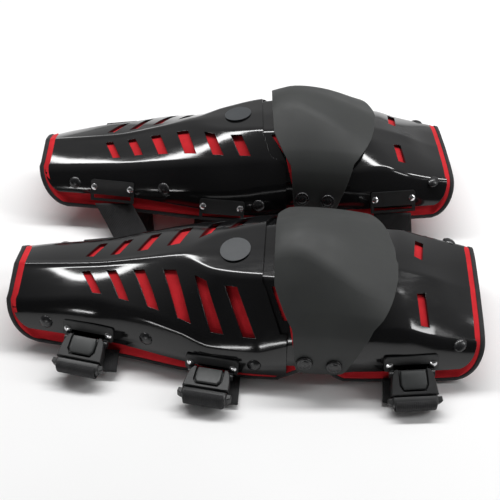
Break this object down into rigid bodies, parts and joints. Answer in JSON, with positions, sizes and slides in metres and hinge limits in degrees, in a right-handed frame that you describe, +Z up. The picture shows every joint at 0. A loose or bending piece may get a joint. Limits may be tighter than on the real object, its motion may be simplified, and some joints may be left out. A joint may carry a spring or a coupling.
{
  "type": "pair of motorcycle knee and shin guards",
  "caption": "Pair of hard-shell knee and shin guards with foam linings, hinged knee cups and strap buckles.",
  "frame": {"origin": "middle of the pair's footprint, on the surface that it lies on", "axes": "+X from the ankle end to the thigh end, +Z up, away from the leg; left guard on the -Y side"},
  "size_m": [0.4637, 0.4619, 0.1306],
  "materials": {
    "shell_black": "high gloss",
    "cup_soft_touch": "satin soft touch",
    "foam_red": "knit-faced foam",
    "binding_black": "folded tape",
    "webbing_black": "elastic webbing",
    "buckle_black": "satin",
    "button_grey": "satin",
    "rivet_black": "gloss",
    "screw_steel": "bright",
    "badge_grey": "satin"
  },
  "bodies": {
    "left_shin": {"left_shin_shell": "shell_black", "left_shin_liner": "foam_red", "left_shin_binding": "binding_black", "left_shin_badge": "badge_grey", "left_knee_plate": "shell_black", "left_shin_rivets": "rivet_black", "left_shin_screws": "screw_steel", "left_shin_brackets": "buckle_black", "left_shin_keepers": "buckle_black", "left_ankle_strap": "webbing_black", "left_calf_strap": "webbing_black"},
    "left_cup": {"left_knee_cup": "cup_soft_touch", "left_pivot_rivets": "rivet_black"},
    "left_thigh": {"left_thigh_shell": "shell_black", "left_thigh_liner": "foam_red", "left_thigh_binding": "binding_black", "left_thigh_rivets": "rivet_black", "left_thigh_screws": "screw_steel", "left_thigh_bracket": "buckle_black", "left_thigh_keeper": "buckle_black", "left_thigh_strap": "webbing_black"},
    "left_ankle_socket": {"left_ankle_socket": "buckle_black"},
    "left_ankle_button": {"left_ankle_button": "button_grey"},
    "left_ankle_tongue": {"left_ankle_tongue": "buckle_black"},
    "left_calf_socket": {"left_calf_socket": "buckle_black"},
    "left_calf_button": {"left_calf_button": "button_grey"},
    "left_calf_tongue": {"left_calf_tongue": "buckle_black"},
    "left_thigh_socket": {"left_thigh_socket": "buckle_black"},
    "left_thigh_button": {"left_thigh_button": "button_grey"},
    "left_thigh_tongue": {"left_thigh_tongue": "buckle_black"},
    "right_shin": {"right_shin_shell": "shell_black", "right_shin_liner": "foam_red", "right_shin_binding": "binding_black", "right_shin_badge": "badge_grey", "right_knee_plate": "shell_black", "right_shin_rivets": "rivet_black", "right_shin_screws": "screw_steel", "right_shin_brackets": "buckle_black", "right_shin_keepers": "buckle_black", "right_ankle_strap": "webbing_black", "right_calf_strap": "webbing_black"},
    "right_cup": {"right_knee_cup": "cup_soft_touch", "right_pivot_rivets": "rivet_black"},
    "right_thigh": {"right_thigh_shell": "shell_black", "right_thigh_liner": "foam_red", "right_thigh_binding": "binding_black", "right_thigh_rivets": "rivet_black", "right_thigh_screws": "screw_steel", "right_thigh_bracket": "buckle_black", "right_thigh_keeper": "buckle_black", "right_thigh_strap": "webbing_black"},
    "right_ankle_socket": {"right_ankle_socket": "buckle_black"},
    "right_ankle_button": {"right_ankle_button": "button_grey"},
    "right_ankle_tongue": {"right_ankle_tongue": "buckle_black"},
    "right_calf_socket": {"right_calf_socket": "buckle_black"},
    "right_calf_button": {"right_calf_button": "button_grey"},
    "right_calf_tongue": {"right_calf_tongue": "buckle_black"},
    "right_thigh_socket": {"right_thigh_socket": "buckle_black"},
    "right_thigh_button": {"right_thigh_button": "button_grey"},
    "right_thigh_tongue": {"right_thigh_tongue": "buckle_black"}
  },
  "joints": [
    {"name": "left_knee_lower", "type": "hinge", "parent": "left_shin", "child": "left_cup", "pos_m": [0.06099, -0.10409, 0.04482], "axis": [0.0607, 0.9927, 0.1045], "range_deg": [0, 25]},
    {"name": "left_knee_upper", "type": "hinge", "parent": "left_cup", "child": "left_thigh", "pos_m": [0.08796, -0.10542, 0.04184], "axis": [0.0607, 0.9927, 0.1045], "range_deg": [0, 38]},
    {"name": "left_ankle_socket_swing", "type": "hinge", "parent": "left_shin", "child": "left_ankle_socket", "pos_m": [-0.14808, -0.15542, 0.02575], "axis": [-0.9731, 0.2299, 0.0178], "range_deg": [0, 50]},
    {"name": "left_ankle_button_press", "type": "slide", "parent": "left_ankle_socket", "child": "left_ankle_button", "axis": [0.0542, 0.3032, -0.9514], "range_m": [0, 0.0014], "stiffness_N_per_m": 600},
    {"name": "left_ankle_tongue_pull", "type": "slide", "parent": "left_ankle_socket", "child": "left_ankle_tongue", "axis": [-0.2241, -0.9248, -0.3075], "range_m": [0, 0.03]},
    {"name": "left_calf_socket_swing", "type": "hinge", "parent": "left_shin", "child": "left_calf_socket", "pos_m": [-0.03036, -0.18684, 0.01451], "axis": [-0.9817, 0.1898, 0.0158], "range_deg": [0, 50]},
    {"name": "left_calf_button_press", "type": "slide", "parent": "left_calf_socket", "child": "left_calf_button", "axis": [-0.0157, 0.0021, -0.9999], "range_m": [0, 0.0014], "stiffness_N_per_m": 600},
    {"name": "left_calf_tongue_pull", "type": "slide", "parent": "left_calf_socket", "child": "left_calf_tongue", "axis": [-0.1898, -0.9818, 0.0009], "range_m": [0, 0.03]},
    {"name": "left_thigh_socket_swing", "type": "hinge", "parent": "left_thigh", "child": "left_thigh_socket", "pos_m": [0.15433, -0.19367, 0.02345], "axis": [-0.9986, -0.0498, -0.0176], "range_deg": [0, 50]},
    {"name": "left_thigh_button_press", "type": "slide", "parent": "left_thigh_socket", "child": "left_thigh_button", "axis": [-0.006, 0.438, -0.8989], "range_m": [0, 0.0014], "stiffness_N_per_m": 600},
    {"name": "left_thigh_tongue_pull", "type": "slide", "parent": "left_thigh_socket", "child": "left_thigh_tongue", "axis": [0.0525, -0.8976, -0.4377], "range_m": [0, 0.03]},
    {"name": "right_knee_lower", "type": "hinge", "parent": "right_shin", "child": "right_cup", "pos_m": [0.0613, 0.10553, 0.05087], "axis": [0, 0.9962, -0.0872], "range_deg": [0, 25]},
    {"name": "right_knee_upper", "type": "hinge", "parent": "right_cup", "child": "right_thigh", "pos_m": [0.0883, 0.10526, 0.04789], "axis": [0, 0.9962, -0.0872], "range_deg": [0, 38]},
    {"name": "right_ankle_socket_swing", "type": "hinge", "parent": "right_shin", "child": "right_ankle_socket", "pos_m": [-0.14424, 0.16985, 0.03293], "axis": [0.9853, 0.1704, -0.0148], "range_deg": [0, 50]},
    {"name": "right_ankle_button_press", "type": "slide", "parent": "right_ankle_socket", "child": "right_ankle_button", "axis": [0.0356, -0.2893, -0.9566], "range_m": [0, 0.0014], "stiffness_N_per_m": 600},
    {"name": "right_ankle_tongue_pull", "type": "slide", "parent": "right_ankle_socket", "child": "right_ankle_tongue", "axis": [-0.1672, 0.942, -0.2911], "range_m": [0, 0.03]},
    {"name": "right_calf_socket_swing", "type": "hinge", "parent": "right_shin", "child": "right_calf_socket", "pos_m": [-0.02483, 0.19421, 0.02211], "axis": [0.9914, 0.1298, -0.0135], "range_deg": [0, 50]},
    {"name": "right_calf_button_press", "type": "slide", "parent": "right_calf_socket", "child": "right_calf_button", "axis": [-0.0158, 0.0163, -0.9997], "range_m": [0, 0.0014], "stiffness_N_per_m": 600},
    {"name": "right_calf_tongue_pull", "type": "slide", "parent": "right_calf_socket", "child": "right_calf_tongue", "axis": [-0.1296, 0.9914, 0.0182], "range_m": [0, 0.03]},
    {"name": "right_thigh_socket_swing", "type": "hinge", "parent": "right_thigh", "child": "right_thigh_socket", "pos_m": [0.15993, 0.1896, 0.03097], "axis": [0.9937, -0.111, 0.0157], "range_deg": [0, 50]},
    {"name": "right_thigh_button_press", "type": "slide", "parent": "right_thigh_socket", "child": "right_thigh_button", "axis": [-0.0327, -0.4211, -0.9064], "range_m": [0, 0.0014], "stiffness_N_per_m": 600},
    {"name": "right_thigh_tongue_pull", "type": "slide", "parent": "right_thigh_socket", "child": "right_thigh_tongue", "axis": [0.1072, 0.9002, -0.4221], "range_m": [0, 0.03]},
    {"name": "right_lift_off", "type": "slide", "parent": "left_shin", "child": "right_shin", "axis": [0, 0, 1], "range_m": [0, 0.3]}
  ]
}
